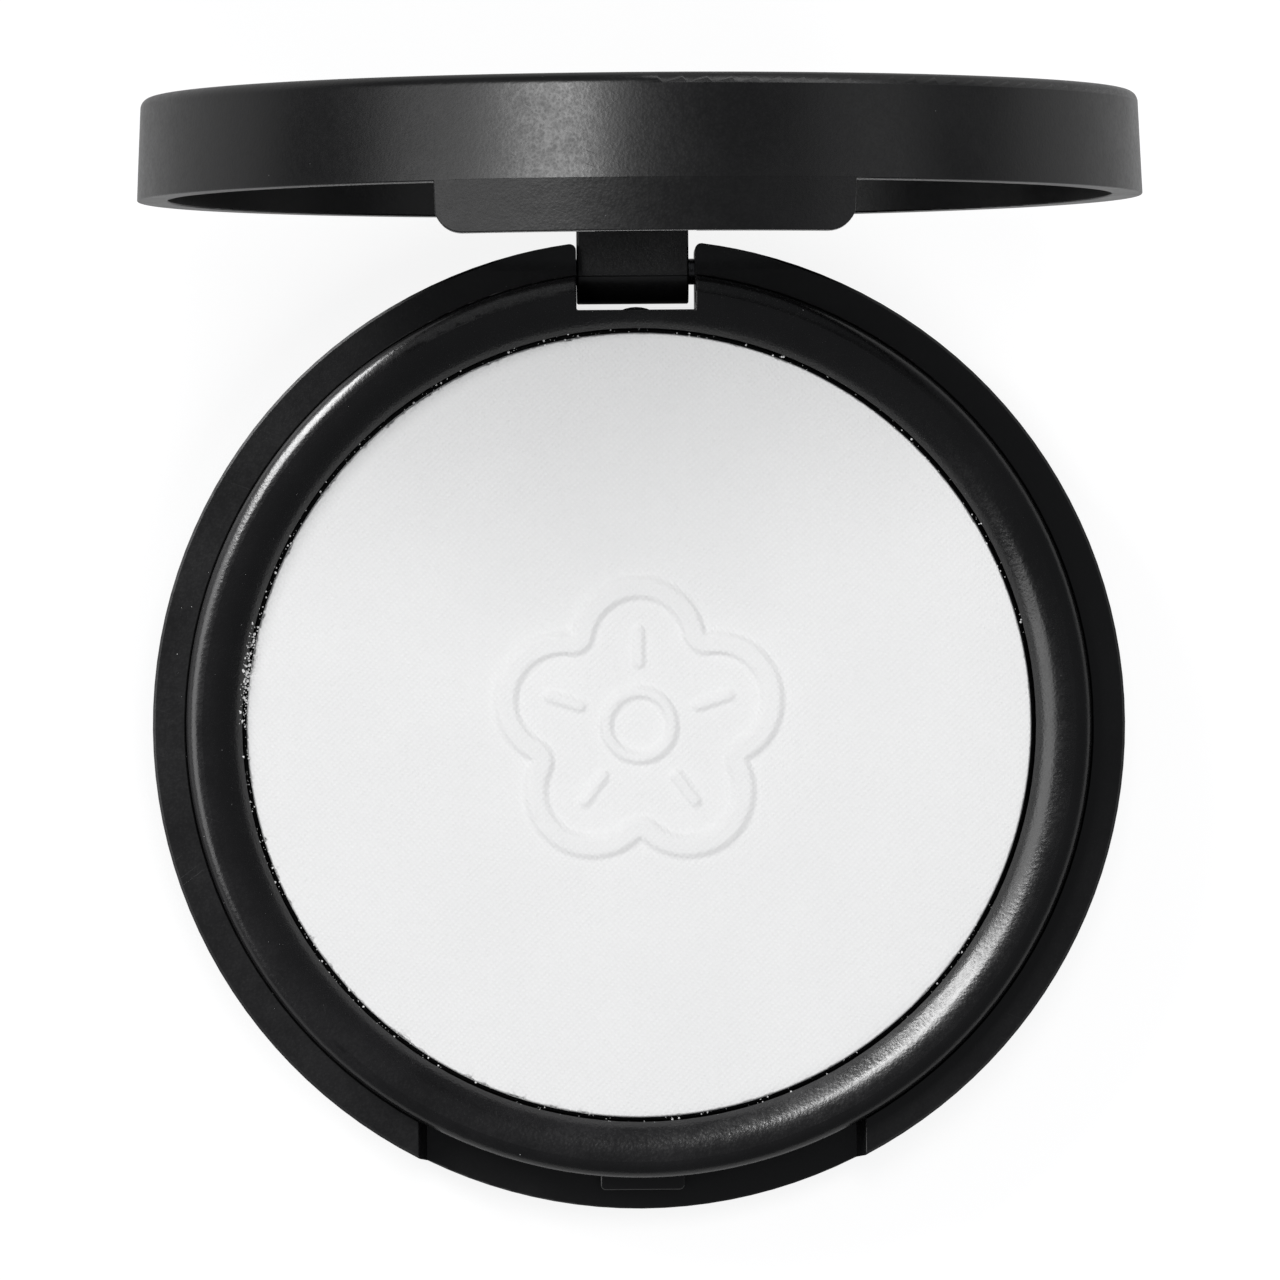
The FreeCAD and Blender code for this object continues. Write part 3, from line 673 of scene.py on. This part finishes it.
def makeFloor():
    mesh = bpy.data.meshes.new("floor")
    half = floorLook["size"]
    level = -floorLook["below"]
    corners = [(-half, -half, level), (half, -half, level), (half, half, level), (-half, half, level)]
    mesh.from_pydata(corners, [], [(0, 1, 2, 3)])
    floor = bpy.data.objects.new("floor", mesh)
    scene.collection.objects.link(floor)
    material, tree, surface, place = newMaterial("floor white", {
        "Roughness": 0.9, "Specular IOR Level": 0.1, "Emission Color": (1, 1, 1, 1)})
    shade = noise(place, 3.0)
    paint = floorLook["paint"]
    shaded = (paint * 0.99, paint * 0.99, paint)
    connect(mixColour(shade, (paint, paint, paint), shaded), surface.inputs["Base Color"])
    direct = out(add(tree, "ShaderNodeLightPath"), "Is Camera Ray")
    glow = ramp(direct, 0.0, 1.0, floorLook["glowLit"], floorLook["glowSeen"])
    connect(glow, surface.inputs["Emission Strength"])
    # open from below, so that the underside can be looked at
    clear = add(tree, "ShaderNodeBsdfTransparent")
    behind = out(add(tree, "ShaderNodeNewGeometry"), "Backfacing")
    both = add(tree, "ShaderNodeMixShader", {0: behind})
    tree.links.new(surface.outputs[0], both.inputs[1])
    tree.links.new(clear.outputs[0], both.inputs[2])
    output = next(item for item in tree.nodes if item.bl_idname == "ShaderNodeOutputMaterial")
    tree.links.new(both.outputs[0], output.inputs["Surface"])
    material.cycles.emission_sampling = "NONE"      # its glow is found by bounced light alone
    mesh.materials.append(material)
    return floor


worldLook = {"seen": 0.93, "lit": (0.180, 0.184, 0.193)}


def makeWorld():
    world = bpy.data.worlds.new("studio")
    world.use_nodes = True
    tree = world.node_tree
    tree.nodes.clear()
    seen = add(tree, "ShaderNodeBackground", {"Color": (1, 1, 1, 1), "Strength": worldLook["seen"]})
    lit = add(tree, "ShaderNodeBackground", {"Color": (*worldLook["lit"], 1.0), "Strength": 1.0})
    direct = out(add(tree, "ShaderNodeLightPath"), "Is Camera Ray")
    both = add(tree, "ShaderNodeMixShader", {0: direct})
    tree.links.new(lit.outputs[0], both.inputs[1])
    tree.links.new(seen.outputs[0], both.inputs[2])
    output = add(tree, "ShaderNodeOutputWorld")
    tree.links.new(both.outputs[0], output.inputs["Surface"])
    scene.world = world


floor = makeFloor()
makeWorld()
lidPieces = [nodes[name] for name in ("lid_shell", "mirror", "mirror_adhesive")]
trayPieces = [nodes["pan_tray"]]
powderPieces = [pressedCake, floor] + loosePowder
shellNames = ("base_shell", "hinge_pin", "powder_pan", "pan_adhesive", "base_label")
shellPieces = [nodes[name] for name in shellNames]
# Bearing runs from +X towards +Y, and height above the floor, in degrees. Each lamp has the pieces it lights.
lamps = {
    "lid softbox": {"bearing": 156, "height": 69, "distance": 0.90, "size": (0.22, 0.22), "power": 3.0,
                    "lights": lidPieces},
    "lid side": {"bearing": 178, "height": 46, "distance": 1.00, "size": (0.50, 0.50), "power": 1.6,
                 "lights": lidPieces},
    "lid right": {"bearing": 2, "height": 38, "distance": 1.10, "size": (0.50, 0.50), "power": 0.5,
                  "lights": lidPieces},
    "lid back": {"bearing": 62, "height": 24, "distance": 1.00, "size": (0.70, 0.25), "power": 2.2,
                 "lights": lidPieces},
    "bead key": {"bearing": 133, "height": 29, "distance": 1.00, "size": (0.50, 0.85), "power": 29.0,
                 "lights": trayPieces},
    "bead low": {"bearing": 124, "height": 28, "distance": 1.00, "size": (0.45, 0.60), "power": 5.5,
                 "lights": trayPieces, "freeOfLid": True},
    "ring key": {"bearing": 136, "height": 30, "distance": 1.00, "size": (0.55, 0.92), "power": 26.0,
                 "lights": shellPieces},
    "bead side": {"bearing": 178, "height": 23, "distance": 1.00, "size": (0.80, 0.60), "power": 5.0,
                  "lights": trayPieces + shellPieces},
    "powder fill": {"bearing": 310, "height": 50, "distance": 1.00, "size": (0.80, 0.80), "power": 4.5,
                    "lights": powderPieces},
    "powder top": {"bearing": 80, "height": 75, "distance": 0.90, "size": (0.32, 0.32), "power": 2.3,
                   "lights": powderPieces},
    "powder relief": {"bearing": 140, "height": 33, "distance": 1.00, "size": (0.30, 0.30), "power": 5.0,
                      "lights": powderPieces, "freeOfLid": True},
}
aimPoint = Vector((0, 10 * mm, 20 * mm))


def placeLamp(name, lamp):
    light = bpy.data.lights.new(name, "AREA")
    light.shape = "RECTANGLE"
    light.size, light.size_y = lamp["size"]
    light.energy = lamp["power"]
    bearing, height = math.radians(lamp["bearing"]), math.radians(lamp["height"])
    level = math.cos(height)
    aim = Vector((math.cos(bearing) * level, math.sin(bearing) * level, math.sin(height)))
    holder = bpy.data.objects.new(name, light)
    scene.collection.objects.link(holder)
    holder.location = aimPoint + aim * lamp["distance"]
    holder.rotation_euler = aim.to_track_quat("Z", "Y").to_euler()
    holder.visible_camera = False
    lit = bpy.data.collections.new(name)
    for piece in lamp["lights"]:
        lit.objects.link(piece)
    holder.light_linking.receiver_collection = lit
    if lamp.get("freeOfLid"):
        shades = bpy.data.collections.new(name + " shades")
        for piece in trayPieces + shellPieces + [pressedCake]:
            shades.objects.link(piece)
        holder.light_linking.blocker_collection = shades


cameraLook = {"place": (-10.6, 3.0, 951.0), "aim": (0.11, 6.46, 8.0), "roll": 0.45, "lens": 348.6,
              "sensor": 36.0, "near": 0.05, "far": 20.0}


def makeCamera():
    camera = bpy.data.cameras.new("camera")
    camera.lens = cameraLook["lens"]
    camera.sensor_width = cameraLook["sensor"]
    camera.clip_start = cameraLook["near"]
    camera.clip_end = cameraLook["far"]
    holder = bpy.data.objects.new("camera", camera)
    scene.collection.objects.link(holder)
    place = Vector(cameraLook["place"]) * mm
    back = (place - Vector(cameraLook["aim"]) * mm).normalized()
    right = Vector((0, 1, 0)).cross(back).normalized()
    up = back.cross(right)
    turned = Matrix((right, up, back)).transposed()
    roll = Matrix.Rotation(-math.radians(cameraLook["roll"]), 3, back)
    holder.matrix_world = Matrix.Translation(place) @ (roll @ turned).to_4x4()
    scene.camera = holder


for name, lamp in lamps.items():
    placeLamp(name, lamp)
makeCamera()
scene.view_settings.view_transform = "Standard"
print("floor, light and camera ready")

bpy.context.view_layer.update()
